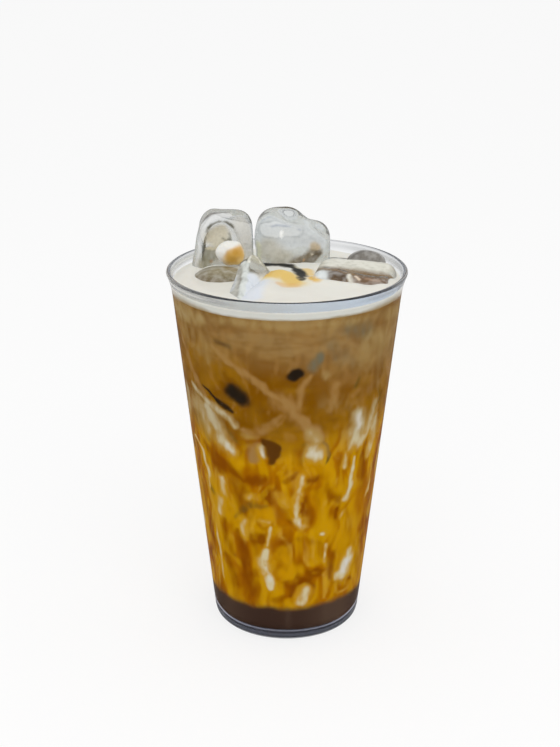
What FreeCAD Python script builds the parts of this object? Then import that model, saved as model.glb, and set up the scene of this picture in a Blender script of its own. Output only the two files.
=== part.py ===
"""Iced caramel macchiato in a clear tapered tumbler.

Frame: millimetres, +Z up, origin at the centre of the resting ring, front towards -Y.
The tumbler is a lathe-turned shell.  The drink fills its cavity in four level layers, and six
half-melted ice blocks stand out of the milk foam, each in a pocket of its own.
"""
import FreeCAD, Part
import operator
import os
import Sketcher

from FreeCAD import Placement, Rotation, Vector

# ---------------------------------------------------------------- driving dimensions

CUP = {
    "cup_height": 142.5,      # resting ring to lip
    "rim_width": 90.0,        # outside diameter at the lip
    "flare_out": 1.15,        # how far the lip stands outside the line of the straight wall
    "base_width": 56.2,       # where the straight wall would meet the table
    "wall": 1.6,
    "lip_wall": 1.6,
    "flare_drop": 9.5,        # below the lip the wall starts to turn outwards here
    "heel_round": 3.2,
    "floor_thickness": 5.0,
    "floor_round": 2.4,
    "recess_width": 41.0,     # shallow hollow under the base
    "recess_depth": 1.2,
    "recess_slope": 1.6,
}

DRINK = {
    "syrup_depth": 10.0,      # dark layer on the floor
    "caramel_depth": 76.0,    # caramel-streaked milk above it
    "foam_depth": 5.2,
    "foam_drop": 2.0,         # foam surface below the lip
    "wall_film": 0.5,         # least drink or foam between ice and glass
}

# Each ice block is a tapered box with rounded edges.  "across" and "along" place the centre
# of its underside in X and Y, and "sunk" is how far that lies below the foam surface.
ICE = {
    "hollow": {"width": 23.5, "depth": 19.0, "tall": 28.0, "taper": 3.0, "edge": 7.0,
               "across": -24.2, "along": 14.0, "sunk": 7.0},
    "hump": {"width": 21.0, "depth": 20.0, "tall": 26.2, "taper": 3.0, "edge": 6.8,
             "across": -1.2, "along": 22.0, "sunk": 6.2},
    "shoulder": {"width": 16.5, "depth": 17.5, "tall": 21.0, "taper": 3.5, "edge": 5.6,
                 "across": 8.2, "along": 22.5, "sunk": 6.6},
    "sunken": {"width": 16.8, "depth": 16.6, "tall": 12.0, "taper": 0.8, "edge": 4.4,
               "across": -26.4, "along": -2.8, "sunk": 10.2},
    "peaked": {"width": 24.5, "depth": 26.5, "tall": 13.0, "taper": 1.0, "edge": 2.0,
               "across": -8.2, "along": -18.4, "sunk": 11.4},
    "slab": {"width": 29.5, "depth": 23.0, "tall": 11.5, "taper": -0.8, "edge": 5.0,
             "across": 25.0, "along": -3.4, "sunk": 8.0},
    "rear": {"width": 14.5, "depth": 10.5, "tall": 12.0, "taper": 1.5, "edge": 4.4,
             "across": 30.0, "along": 16.6, "sunk": 8.2},
}

# Lean of each block in degrees: yaw about Z, pitch about X (front down), roll about Y (right down).
ICE_LEAN = {
    "hollow": (-4, 0, 2),
    "hump": (6, 0, -2),
    "shoulder": (-8, 0, 5),
    "sunken": (4, 12, 0),
    "peaked": (0, 14, 17.7),
    "slab": (-12, 4, 0),
    "rear": (-20, 0, 4),
}

# The thimble-like hollow that an ice machine leaves in one side of a cube.
THIMBLE = {
    "thimble_width": 14.0,
    "thimble_tall": 21.0,
    "thimble_depth": 6.5,
    "thimble_rise": 11.5,     # centre above the underside of the cube
}

ROOM_ABOVE = 60.0             # the cavity's cutting shape goes on this far above the lip


# ---------------------------------------------------------------- document and sheet

doc = FreeCAD.newDocument("caramel_macchiato")
sheet = doc.addObject("Spreadsheet::Sheet", "Sizes")


def ice_sizes():
    """The ice blocks' sizes under one alias each, such as hollow_width."""
    return {f"{block}_{name}": value for block, sizes in ICE.items() for name, value in sizes.items()}


SIZES = {**CUP, **DRINK, **ice_sizes(), **THIMBLE}
for row, (alias, value) in enumerate(SIZES.items(), start=1):
    sheet.set(f"A{row}", alias.replace("_", " "))
    sheet.set(f"B{row}", str(value))
    sheet.setAlias(f"B{row}", alias)
doc.recompute()


class Formula:
    """A length worked out from the sheet: its value now and the expression that binds it."""

    SIGNS = {"+": operator.add, "-": operator.sub, "*": operator.mul, "/": operator.truediv}

    def __init__(self, value, text):
        self.value = value
        self.text = text

    def joined(self, sign, other):
        if not isinstance(other, Formula):
            other = Formula(float(other), repr(float(other)))
        return Formula(self.SIGNS[sign](self.value, other.value), f"({self.text} {sign} {other.text})")

    def __add__(self, other):
        return self.joined("+", other)

    def __sub__(self, other):
        return self.joined("-", other)

    def __mul__(self, other):
        return self.joined("*", other)

    def __truediv__(self, other):
        return self.joined("/", other)


def size(alias):
    return Formula(float(SIZES[alias]), f"Sizes.{alias}")


def bind(thing, **properties):
    """Bind properties of an object to formulas; a double underscore stands for a dot."""
    for name, formula in properties.items():
        thing.setExpression(name.replace("__", "."), formula.text)


# ---------------------------------------------------------------- derived lines and levels

lip_z = size("cup_height")
flare_z = lip_z - size("flare_drop")
foam_z = lip_z - size("foam_drop")
foam_bottom_z = foam_z - size("foam_depth")
floor_z = size("floor_thickness")
syrup_z = floor_z + size("syrup_depth")
caramel_z = syrup_z + size("caramel_depth")
rim_radius = size("rim_width") / 2
base_radius = size("base_width") / 2
lip_round = size("lip_wall") / 2
wall_spread = (rim_radius - size("flare_out") - base_radius) / lip_z


def wall_radius(level):
    """Outside radius of the straight wall at a level."""
    return base_radius + wall_spread * level


# ---------------------------------------------------------------- lathe work

def origin_plane(body, role):
    return next(item for item in body.Origin.OriginFeatures if item.Role == role)


def add_edge(sketch, start, end, bulge=0):
    """Add a sketch edge between two (radius, level) corners.

    bulge is an arc's rise over half its chord, positive to the right of travel.  Returns the
    edge's number, and the point numbers of its start and end in the direction of travel:
    the sketch counts every arc's points anticlockwise.
    """
    a = Vector(start[0].value, start[1].value, 0)
    b = Vector(end[0].value, end[1].value, 0)
    if bulge == 0:
        return sketch.addGeometry(Part.LineSegment(a, b), False), 1, 2
    middle = (a + b) / 2 + Vector(b.y - a.y, a.x - b.x, 0) * bulge / 2
    if bulge > 0:
        return sketch.addGeometry(Part.Arc(a, middle, b), False), 1, 2
    return sketch.addGeometry(Part.Arc(b, middle, a), False), 2, 1


def lathe_body(name, outline):
    """A PartDesign body turned about Z.

    outline is a closed list of (radius, level, way on): the way on to the next corner is
    "line", ("tangent", bulge) for an arc that leaves smoothly from the edge before it, or
    ("radius", formula, bulge) for an arc of known radius.
    """
    body = doc.addObject("PartDesign::Body", name)
    sketch = body.newObject("Sketcher::SketchObject", f"{name}_profile")
    sketch.AttachmentSupport = [(origin_plane(body, "XZ_Plane"), "")]
    sketch.MapMode = "FlatFace"
    edges = []
    for corner, following in zip(outline, outline[1:] + outline[:1]):
        bulge = 0 if corner[2] == "line" else corner[2][-1]
        edges.append(add_edge(sketch, corner, following, bulge))
    for number, (corner, (index, start, end)) in enumerate(zip(outline, edges)):
        before, before_end = edges[number - 1][0], edges[number - 1][2]
        way = corner[2]
        if way != "line" and way[0] == "tangent":
            sketch.addConstraint(Sketcher.Constraint("Tangent", before, before_end, index, start))
        else:
            sketch.addConstraint(Sketcher.Constraint("Coincident", before, before_end, index, start))
        if way != "line" and way[0] == "radius":
            fixed = sketch.addConstraint(Sketcher.Constraint("Radius", index, way[1].value))
            sketch.setExpression(f"Constraints[{fixed}]", way[1].text)
        place_corner(sketch, index, start, corner)
    turn = body.newObject("PartDesign::Revolution", f"{name}_turn")
    turn.Profile = sketch
    turn.ReferenceAxis = (sketch, ["V_Axis"])
    turn.Angle = 360.0
    body.Tip = turn
    doc.recompute()
    return body


def place_corner(sketch, index, point, corner):
    """Dimension one corner from the axis and from the table plane."""
    for kind, formula in (("DistanceX", corner[0]), ("DistanceY", corner[1])):
        if formula.value == 0:
            on_axis = -2 if kind == "DistanceX" else -1
            sketch.addConstraint(Sketcher.Constraint("PointOnObject", index, point, on_axis))
            continue
        fixed = sketch.addConstraint(Sketcher.Constraint(kind, -1, 1, index, point, formula.value))
        sketch.setExpression(f"Constraints[{fixed}]", formula.text)


def ring_edge(shape, radius, level):
    """Name of the circular edge of a given radius at a given level."""
    for number, edge in enumerate(shape.Edges, start=1):
        curve = edge.Curve
        if not isinstance(curve, Part.Circle):
            continue
        if abs(curve.Radius - radius.value) < 1e-4 and abs(curve.Center.z - level.value) < 1e-4:
            return f"Edge{number}"
    raise ValueError(f"no ring of radius {radius.value} at level {level.value}")


def round_ring(body, radius, level, rounding):
    """Round one ring-shaped corner of a turned body."""
    turned = body.Tip
    fillet = body.newObject("PartDesign::Fillet", f"{body.Name}_round")
    fillet.Base = (turned, [ring_edge(turned.Shape, radius, level)])
    bind(fillet, Radius=rounding)
    body.Tip = fillet
    doc.recompute()


ZERO = Formula(0.0, "0")


def make_outside():
    """The tumbler's outside, filled solid."""
    recess_radius = size("recess_width") / 2
    body = lathe_body("outside", [
        (ZERO, size("recess_depth"), "line"),
        (recess_radius - size("recess_slope"), size("recess_depth"), "line"),
        (recess_radius, ZERO, "line"),
        (base_radius, ZERO, "line"),
        (wall_radius(flare_z), flare_z, ("tangent", -0.1)),
        (rim_radius, lip_z - lip_round, ("radius", lip_round, 0.4)),
        (rim_radius - lip_round, lip_z, "line"),
        (ZERO, lip_z, "line"),
    ])
    round_ring(body, base_radius, ZERO, size("heel_round"))
    return body


def inside_radius(level):
    """Inside radius of the straight wall at a level."""
    return wall_radius(level) - size("wall")


def make_cavity():
    """The space inside the tumbler, carried on above the lip."""
    mouth_radius = rim_radius - lip_round
    body = lathe_body("cavity", [
        (ZERO, floor_z, "line"),
        (inside_radius(floor_z), floor_z, "line"),
        (inside_radius(flare_z), flare_z, ("tangent", -0.1)),
        (mouth_radius - lip_round, lip_z - lip_round, ("radius", lip_round, -0.4)),
        (mouth_radius, lip_z, "line"),
        (mouth_radius, lip_z + ROOM_ABOVE, "line"),
        (ZERO, lip_z + ROOM_ABOVE, "line"),
    ])
    round_ring(body, inside_radius(floor_z), floor_z, size("floor_round"))
    return body


def make_ice_room():
    """The space that ice may take: the cavity less the film of drink along the wall."""
    film = size("wall_film")
    throat_radius = rim_radius - size("lip_wall") - film
    return lathe_body("ice_room", [
        (ZERO, floor_z, "line"),
        (inside_radius(floor_z) - film, floor_z, "line"),
        (inside_radius(flare_z) - film, flare_z, ("tangent", -0.1)),
        (throat_radius, lip_z - lip_round, "line"),
        (throat_radius, lip_z + ROOM_ABOVE, "line"),
        (ZERO, lip_z + ROOM_ABOVE, "line"),
    ])


# ---------------------------------------------------------------- booleans

def boolean(kind, label, base, tool):
    result = doc.addObject(f"Part::{kind}", label)
    result.Label = label
    result.Base = base
    result.Tool = tool
    return result


def fused(name, things):
    """Several objects as one cutting shape."""
    result = doc.addObject("Part::MultiFuse", name)
    result.Shapes = things
    return result


# ---------------------------------------------------------------- ice

def ice_blank(block):
    """A rounded, tapered box standing on the centre of its underside."""
    body = doc.addObject("PartDesign::Body", f"{block}_blank")
    wedge = body.newObject("PartDesign::AdditiveWedge", f"{block}_wedge")
    wedge.AttachmentSupport = [(origin_plane(body, "XZ_Plane"), "")]
    wedge.MapMode = "FlatFace"
    half_width = size(f"{block}_width") / 2
    half_depth = size(f"{block}_depth") / 2
    taper = size(f"{block}_taper") / 2
    bind(wedge, Ymin=ZERO, Ymax=size(f"{block}_tall"),
         Xmin=half_width * -1, Xmax=half_width, Zmin=half_depth * -1, Zmax=half_depth,
         X2min=taper - half_width, X2max=half_width - taper,
         Z2min=taper - half_depth, Z2max=half_depth - taper)
    doc.recompute()
    fillet = body.newObject("PartDesign::Fillet", f"{block}_edges")
    fillet.Base = (wedge, [f"Edge{number}" for number in range(1, len(wedge.Shape.Edges) + 1)])
    bind(fillet, Radius=size(f"{block}_edge"))
    body.Tip = fillet
    return body


def stand_in_drink(body, block):
    """Lean a block and stand it at its place in the foam."""
    yaw, pitch, roll = ICE_LEAN[block]
    turn = Rotation(Vector(0, 0, 1), yaw) * Rotation(Vector(0, 1, 0), roll) * Rotation(Vector(1, 0, 0), pitch)
    body.Placement = Placement(Vector(), turn)
    bind(body, Placement__Base__x=size(f"{block}_across"), Placement__Base__y=size(f"{block}_along"),
         Placement__Base__z=foam_z - size(f"{block}_sunk"))


def hollow_out(body):
    """Sink the thimble hollow into the front of the hollow cube."""
    hollow = body.newObject("PartDesign::SubtractiveEllipsoid", "thimble")
    hollow.AttachmentSupport = [(origin_plane(body, "XY_Plane"), "")]
    hollow.MapMode = "FlatFace"
    hollow.Angle1 = -90
    hollow.Angle2 = 90
    hollow.Angle3 = 360
    bind(hollow, Radius1=size("thimble_tall") / 2, Radius2=size("thimble_width") / 2,
         Radius3=size("thimble_depth"),
         AttachmentOffset__Base__y=size("hollow_depth") / -2,
         AttachmentOffset__Base__z=size("thimble_rise"))
    body.Tip = hollow


def make_ice(room):
    """The six ice nodes; each later one is cut back where an earlier one is in its way."""
    blanks = {block: ice_blank(block) for block in ICE}
    hollow_out(blanks["hollow"])
    for block, body in blanks.items():
        stand_in_drink(body, block)
    doc.recompute()
    lumps = fused("humped_lump", [blanks["hump"], blanks["shoulder"]])
    shapes = [
        ("ice_hollow_cube", blanks["hollow"]),
        ("ice_humped", lumps),
        ("ice_peaked", blanks["peaked"]),
        ("ice_sunken", blanks["sunken"]),
        ("ice_slab", blanks["slab"]),
        ("ice_rear", blanks["rear"]),
    ]
    nodes = []
    for label, shape in shapes:
        within = boolean("Common", label if not nodes else f"{label}_within", shape, room)
        if nodes:
            earlier = fused(f"{label}_earlier", list(nodes)) if len(nodes) > 1 else nodes[0]
            within = boolean("Cut", label, within, earlier)
        nodes.append(within)
    doc.recompute()
    return nodes


# ---------------------------------------------------------------- drink

def layer(label, cavity, bottom, top, ice=None):
    """One level layer of the drink, with pockets where ice stands in it."""
    slab = doc.addObject("Part::Cylinder", f"{label}_levels")
    bind(slab, Radius=size("rim_width"), Height=top - bottom, Placement__Base__z=bottom)
    filled = boolean("Common", label if ice is None else f"{label}_filled", cavity, slab)
    if ice is None:
        return filled
    return boolean("Cut", label, filled, ice)


# ---------------------------------------------------------------- assembly

outside = make_outside()
cavity = make_cavity()
ice_nodes = make_ice(make_ice_room())
ice_together = fused("ice_together", list(ice_nodes))
nodes = [
    boolean("Cut", "tumbler", outside, cavity),
    layer("dark_syrup", cavity, floor_z, syrup_z),
    layer("caramel_milk", cavity, syrup_z, caramel_z),
    layer("coffee_milk", cavity, caramel_z, foam_bottom_z, ice_together),
    layer("milk_foam", cavity, foam_bottom_z, foam_z, ice_together),
] + ice_nodes
doc.recompute()


# ---------------------------------------------------------------- checks and export

for thing in doc.Objects:
    if "Invalid" in thing.State or "Error" in thing.State:
        raise RuntimeError(f"{thing.Name} did not rebuild: {thing.State}")
for node in nodes:
    if node.Shape.isNull() or not node.Shape.isValid():
        raise RuntimeError(f"{node.Label} has no valid shape")
    if len(node.Shape.Solids) != 1:
        raise RuntimeError(f"{node.Label} is {len(node.Shape.Solids)} solids, not one")

os.makedirs("parts", exist_ok=True)
for node in nodes:
    node.Shape.exportStep(f"parts/{node.Label}.step")
    print(f"{node.Label}: {node.Shape.Volume / 1000:.1f} ml, box {node.Shape.BoundBox}")
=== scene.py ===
"""Looks of the iced caramel macchiato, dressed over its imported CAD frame.

Metres, +Z up, origin at the centre of the resting ring, front towards -Y.  Places on the
tumbler's wall are given as an azimuth in degrees, 0 at the front and positive to the right,
and a level in millimetres above the table.
"""

import math

import bmesh
import bpy
import numpy as np
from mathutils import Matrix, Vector


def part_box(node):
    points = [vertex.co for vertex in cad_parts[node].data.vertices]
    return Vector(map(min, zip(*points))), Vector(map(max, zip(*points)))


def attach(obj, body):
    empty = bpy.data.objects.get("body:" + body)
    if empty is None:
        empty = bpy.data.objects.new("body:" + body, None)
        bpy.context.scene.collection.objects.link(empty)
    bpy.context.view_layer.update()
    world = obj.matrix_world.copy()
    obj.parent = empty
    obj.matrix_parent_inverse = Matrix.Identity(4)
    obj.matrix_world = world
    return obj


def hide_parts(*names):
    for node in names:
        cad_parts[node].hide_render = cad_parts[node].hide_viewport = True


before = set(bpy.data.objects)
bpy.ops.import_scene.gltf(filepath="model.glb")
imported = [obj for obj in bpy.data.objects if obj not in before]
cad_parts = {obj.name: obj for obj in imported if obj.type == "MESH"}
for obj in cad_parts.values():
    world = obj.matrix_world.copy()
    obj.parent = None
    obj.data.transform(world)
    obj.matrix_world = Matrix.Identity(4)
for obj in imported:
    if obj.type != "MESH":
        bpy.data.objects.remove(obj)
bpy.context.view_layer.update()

MM = 0.001
SEED = 7


# -------- sizes read from the frame

def level_of(node, end):
    """Lowest (0) or highest (1) level of a node."""
    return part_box(node)[end][2]


def half_width(node):
    low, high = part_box(node)
    return (high[0] - low[0]) / 2


WALL = 1.6 * MM
GRIP = 0.2 * MM  # how far the drink reaches into the glass
LIP_LEVEL = level_of("tumbler", 1)
RIM_RADIUS = half_width("tumbler")
FLOOR_LEVEL = level_of("dark_syrup", 0)
SYRUP_LEVEL = level_of("dark_syrup", 1)
CARAMEL_LEVEL = level_of("caramel_milk", 1)
FOAM_BOTTOM = level_of("milk_foam", 0)
FOAM_LEVEL = level_of("milk_foam", 1)
FOAM_CROWN = 2.0 * MM  # how far the foam's edge lies below its middle
WALL_SPREAD = (half_width("caramel_milk") - half_width("dark_syrup")) / (CARAMEL_LEVEL - SYRUP_LEVEL)
FLARE_DROP = 9.5 * MM
FLARE_LEVEL = LIP_LEVEL - FLARE_DROP
LIP_WALL = 1.6 * MM
FLOOR_ROUND = 2.4 * MM  # corner between the tumbler's floor and its wall inside
TUMBLER_COLUMNS, LAYER_COLUMNS, FOAM_COLUMNS = 256, 400, 300


def inner_line(level):
    """Inside radius of the tumbler's straight wall."""
    return half_width("dark_syrup") + WALL_SPREAD * (level - SYRUP_LEVEL)


def flare(level, lip_radius, start_radius):
    """Radius on the arc that turns a wall outwards, from the end of the straight to the lip."""
    above = max(0, level - FLARE_LEVEL)
    top = FLARE_DROP - LIP_WALL / 2
    straight = start_radius + WALL_SPREAD * above
    throw = lip_radius - start_radius - WALL_SPREAD * top
    return straight + throw * (above / top) ** 2


def inner_radius(level):
    if level <= FLARE_LEVEL:
        return inner_line(level)
    return flare(level, RIM_RADIUS - LIP_WALL, inner_line(FLARE_LEVEL))


def outer_radius(level):
    if level <= FLARE_LEVEL:
        return inner_line(level) + WALL
    return flare(level, RIM_RADIUS, inner_line(FLARE_LEVEL) + WALL)


# -------- small tools

def colour(code):
    """Linear RGBA of a hex colour."""
    parts = [int(code[i:i + 2], 16) / 255 for i in (1, 3, 5)]
    return [c / 12.92 if c <= 0.04045 else ((c + 0.055) / 1.055) ** 2.4 for c in parts] + [1.0]


def rise(low, high, values):
    """0 up to low, 1 from high on, with an S-curve between."""
    t = np.clip((values - low) / (high - low), 0, 1)
    return t * t * (3 - 2 * t)


def bell(values, width, middle=0.0):
    """1 at the middle, fading away on both sides."""
    return np.exp(-((values - middle) / width) ** 2)


def lattice(cell, seed):
    """A repeatable random value in 0..1 for each whole-numbered cell, scattered by large primes."""
    mixed = (cell[..., 0] * 73856093) ^ (cell[..., 1] * 19349663) ^ (cell[..., 2] * 83492791)
    mixed = (mixed + seed * 374761393) & 0x7FFFFFFF
    mixed = ((mixed >> 13) ^ mixed) * 1274126177 & 0x7FFFFFFF
    return (mixed & 0xFFFF) / 65535.0


def value_noise(points, scale, seed):
    """Smooth noise in -1..1 at points, one lump about every scale."""
    spot = points / np.asarray(scale, dtype=float)
    base = np.floor(spot).astype(np.int64)
    part = spot - base
    part = part * part * (3 - 2 * part)
    total = np.zeros(len(points))
    for corner in np.ndindex(2, 2, 2):
        weight = np.ones(len(points))
        for axis in range(3):
            weight *= part[:, axis] if corner[axis] else 1 - part[:, axis]
        total += weight * lattice(base + np.array(corner), seed)
    return total * 2 - 1


def lumps(points, seed, *sizes):
    """Noises of several sizes added up, each given as (scale, height)."""
    return sum(value_noise(points, scale, seed + i) * height for i, (scale, height) in enumerate(sizes))


def layered_noise(points, scale, seed):
    """Noise with finer and fainter noise on top, in about -1..1."""
    scale = np.array(scale, dtype=float)
    return lumps(points, seed, *((scale / 2 ** step, 0.55 ** step) for step in range(3))) / 1.4


def triples(items, name):
    flat = np.empty(len(items) * 3)
    items.foreach_get(name, flat)
    return flat.reshape(-1, 3)


def points_of(mesh):
    return triples(mesh.vertices, "co")


def normals_of(mesh):
    return triples(mesh.vertex_normals, "vector")


def azimuth_of(points):
    """Way round from the front to the right, in radians."""
    return np.arctan2(points[:, 0], -points[:, 1])


def set_points(mesh, points):
    mesh.vertices.foreach_set("co", points.ravel())
    mesh.update()


def push_out(mesh, points, distance):
    """Set the mesh's points, moved along its normals."""
    set_points(mesh, points + normals_of(mesh) * np.reshape(distance, (-1, 1)))


def add_values(mesh, **named):
    """Give the mesh attributes, one value for each point."""
    for name, values in named.items():
        layer = mesh.attributes.new(name, "FLOAT", "POINT")
        layer.data.foreach_set("value", np.asarray(values, dtype=np.float32))


def runs_of(path):
    """The straight runs of a path; a single spot makes a run of no length."""
    corners = np.array(path if len(path) > 1 else path * 2, dtype=float)
    return list(zip(corners, corners[1:]))


def from_run(points, a, b):
    """How far along a run each point lies, 0 to 1, and how far away from it."""
    along = b - a
    t = np.clip((points - a) @ along / max(along @ along, 1e-9), 0, 1)
    return t, np.linalg.norm(points - a - t[:, None] * along, axis=1)


def distance_to_path(points, path):
    return np.min([from_run(points, a, b)[1] for a, b in runs_of(path)], axis=0)


def paint_film(mesh, touches, wobble, seed=50):
    """Brush soft-edged colour on a mesh, films and painted light alike: the colour attribute holds its colour
    and, as alpha, its cover.
    """
    points = points_of(mesh) / MM
    shifts = [value_noise(points, 3, seed + axis) * wobble
              + value_noise(points, 1.1, seed + 5 + axis) * wobble * 0.4 for axis in range(3)]
    moved = points + np.stack(shifts, axis=1)
    film = np.zeros((len(points), 4))
    film[:, :3] = colour("#d8d6cc")[:3]
    for code, opacity, radius, *path in touches:
        cover = opacity * (1 - rise(0.45 * radius, 1.25 * radius, distance_to_path(moved, path)))
        total = cover + film[:, 3] * (1 - cover)
        share = np.where(total > 0, cover / np.maximum(total, 1e-6), 0)[:, None]
        film[:, :3] = film[:, :3] * (1 - share) + np.array(colour(code)[:3]) * share
        film[:, 3] = total
    layer = mesh.attributes.new("film", "FLOAT_COLOR", "POINT")
    layer.data.foreach_set("color", film.astype(np.float32).ravel())


def in_scene(name, data):
    thing = bpy.data.objects.new(name, data)
    bpy.context.scene.collection.objects.link(thing)
    return thing


def new_piece(name, mesh, material, slot, *nodes):
    """Put a mesh in the scene as a piece that rides on the part and stands for CAD nodes."""
    piece = in_scene(name, mesh)
    mesh.materials.clear()
    mesh.materials.append(material)
    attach(piece, "root")
    if nodes:
        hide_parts(*nodes)
    return piece


def smooth_mesh(mesh, sharp_degrees):
    mesh.shade_smooth()
    mesh.set_sharp_from_angle(angle=math.radians(sharp_degrees))


def wall_line(radius_at, low, high, step, grip=0.0):
    """Profile points up a wall, about a step apart."""
    count = max(2, round((high - low) / step) + 1)
    return [(radius_at(z) + grip, z) for z in np.linspace(low, high, count)]


def arc(radius, level, size, start, end, count):
    """Profile points on an arc about (radius, level), between two angles in degrees."""
    return [(radius + size * math.cos(turn), level + size * math.sin(turn))
            for turn in np.radians(np.linspace(start, end, count))]


def lathe_mesh(name, profile, columns):
    """Turn a (radius, level) profile that starts and ends on the axis about Z."""
    turns = np.linspace(0, 2 * math.pi, columns, endpoint=False)
    circle = np.stack([np.sin(turns), -np.cos(turns)], axis=1)
    vertices, rows = [], []
    for radius, level in profile:
        if radius == 0:
            rows.append([len(vertices)] * columns)
            vertices.append((0, 0, level))
            continue
        rows.append(range(len(vertices), len(vertices) + columns))
        vertices.extend((radius * x, radius * y, level) for x, y in circle)
    faces = []
    for low, high in zip(rows, rows[1:]):
        for i in range(columns):
            j = (i + 1) % columns
            corners = [low[i], low[j], high[j], high[i]]
            faces.append([c for k, c in enumerate(corners) if c not in corners[:k]])
    mesh = bpy.data.meshes.new(name)
    mesh.from_pydata(vertices, [], faces)
    mesh.update()
    return mesh


# -------- node tools

class Nodes:
    """A short way to write the node tree of a material or a world."""

    def __init__(self, owner, output="OutputMaterial"):
        self.owner = owner
        owner.use_nodes = True
        self.tree = owner.node_tree
        self.tree.nodes.clear()
        self.output = self.add(output)

    def feed(self, target, value):
        """Link a socket or set a value; a hex code stands for its colour, None changes nothing."""
        if isinstance(value, bpy.types.NodeSocket):
            self.tree.links.new(value, target)
        elif value is not None:
            target.default_value = colour(value) if isinstance(value, str) else value

    def add(self, kind, inputs=(), **settings):
        """A node with its properties set and its inputs fed by name."""
        node = self.tree.nodes.new(f"ShaderNode{kind}")
        for name, value in settings.items():
            setattr(node, name, value)
        for name, value in dict(inputs).items():
            self.feed(node.inputs[name], value)
        return node

    def feed_in_order(self, node, *values):
        """Feed a node's inputs from the first one on, and give its output."""
        for socket, value in zip(node.inputs, values):
            self.feed(socket, value)
        return node.outputs[0]

    def maths(self, operation, *values):
        return self.feed_in_order(self.add("Math", operation=operation), *values)

    def mix_shaders(self, factor, a, b):
        return self.feed_in_order(self.add("MixShader"), factor, a, b)

    def mix(self, factor, a, b, blend="MIX"):
        inputs = {"Factor": factor, "A": a, "B": b}
        return self.add("Mix", inputs, data_type="RGBA", blend_type=blend).outputs["Result"]

    def value(self, name):
        """What add_values has given the mesh under a name."""
        return self.add("Attribute", attribute_name=name).outputs["Fac"]

    def ramp(self, value, low, high, out_low=0.0, out_high=1.0):
        inputs = {"Value": value, "From Min": low, "From Max": high, "To Min": out_low, "To Max": out_high}
        return self.add("MapRange", inputs, interpolation_type="SMOOTHSTEP").outputs["Result"]

    def wash(self, shade, tone, value, low, high, most=1.0):
        """Lay a tone over a shade as a value goes from low to high."""
        return self.mix(self.ramp(value, low, high, 0, most), shade, tone)

    def noise(self, scale, detail=3.0, distortion=0.0, stretch=(1, 1, 1)):
        """Noise over object space, in lumps per metre, with each axis stretched."""
        place = self.add("Mapping", {"Vector": self.add("TexCoord").outputs["Object"], "Scale": stretch})
        pattern = {"Scale": scale, "Detail": detail, "Distortion": distortion}
        return self.add("TexNoise", {"Vector": place.outputs["Vector"], **pattern}).outputs["Fac"]

    def bump(self, height, strength, distance):
        inputs = {"Height": height, "Strength": strength, "Distance": distance}
        return self.add("Bump", inputs).outputs["Normal"]

    def coat(self, shade, roughness, specular=0.5, more=()):
        """An opaque surface."""
        inputs = {"Base Color": shade, "Roughness": roughness, "Specular IOR Level": specular}
        return self.add("BsdfPrincipled", {**inputs, **dict(more)}).outputs[0]

    def grazing(self):
        """0 where the eye meets the surface head on, 1 where it only grazes it."""
        return self.add("LayerWeight").outputs["Facing"]

    def is_ray(self, *kinds):
        """1 for rays of any of these kinds."""
        path = self.add("LightPath")
        total, *others = [path.outputs[f"Is {kind} Ray"] for kind in kinds]
        for other in others:
            total = self.maths("MAXIMUM", total, other)
        return total

    def let_lamps_through(self, shader, tint):
        """Clear for shadow and diffuse rays, so that lamps light what is behind glass."""
        clear = self.add("BsdfTransparent", {"Color": tint})
        return self.mix_shaders(self.is_ray("Shadow", "Diffuse"), shader, clear.outputs[0])

    def finish(self, shader):
        self.feed(self.output.inputs["Surface"], shader)
        return self.owner


def material_nodes(name):
    return Nodes(bpy.data.materials.new(name))


# -------- strokes on the wall

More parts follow.
